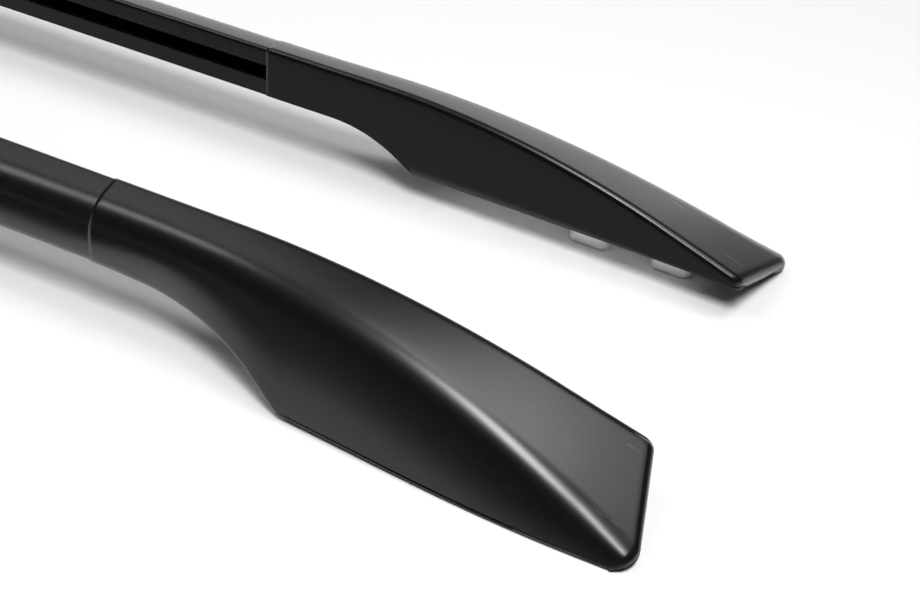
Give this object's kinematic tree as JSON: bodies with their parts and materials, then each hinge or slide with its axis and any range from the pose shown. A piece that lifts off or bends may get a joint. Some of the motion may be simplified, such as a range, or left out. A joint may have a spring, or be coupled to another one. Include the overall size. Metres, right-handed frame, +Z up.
{
  "type": "pair of roof rails",
  "caption": "Mirrored pair of low black roof rails: slotted extruded bars with moulded end caps that flare and sink to a thin tip, on cast feet with threaded bosses.",
  "frame": {"origin": "centre of the pair on the plane of the boss faces", "axes": "+X along the rails to the end shown in the picture, +Y across the pair, +Z up"},
  "size_m": [1.6736, 0.2892, 0.0759],
  "materials": {
    "bar_coating": "satin black anodised extrusion",
    "cap_plastic": "satin black moulding",
    "cast_alloy": "matte as cast",
    "insert_steel": "plain zinc",
    "screw_steel": "plain zinc"
  },
  "bodies": {
    "root": {"left_bar": "bar_coating", "left_front_cap": "cap_plastic", "left_front_foot": "cast_alloy", "left_front_inserts": "insert_steel", "left_front_cap_screws": "screw_steel", "left_front_bar_screws": "screw_steel", "left_rear_cap": "cap_plastic", "left_rear_foot": "cast_alloy", "left_rear_inserts": "insert_steel", "left_rear_cap_screws": "screw_steel", "left_rear_bar_screws": "screw_steel", "right_bar": "bar_coating", "right_front_cap": "cap_plastic", "right_front_foot": "cast_alloy", "right_front_inserts": "insert_steel", "right_front_cap_screws": "screw_steel", "right_front_bar_screws": "screw_steel", "right_rear_cap": "cap_plastic", "right_rear_foot": "cast_alloy", "right_rear_inserts": "insert_steel", "right_rear_cap_screws": "screw_steel", "right_rear_bar_screws": "screw_steel"}
  },
  "joints": []
}
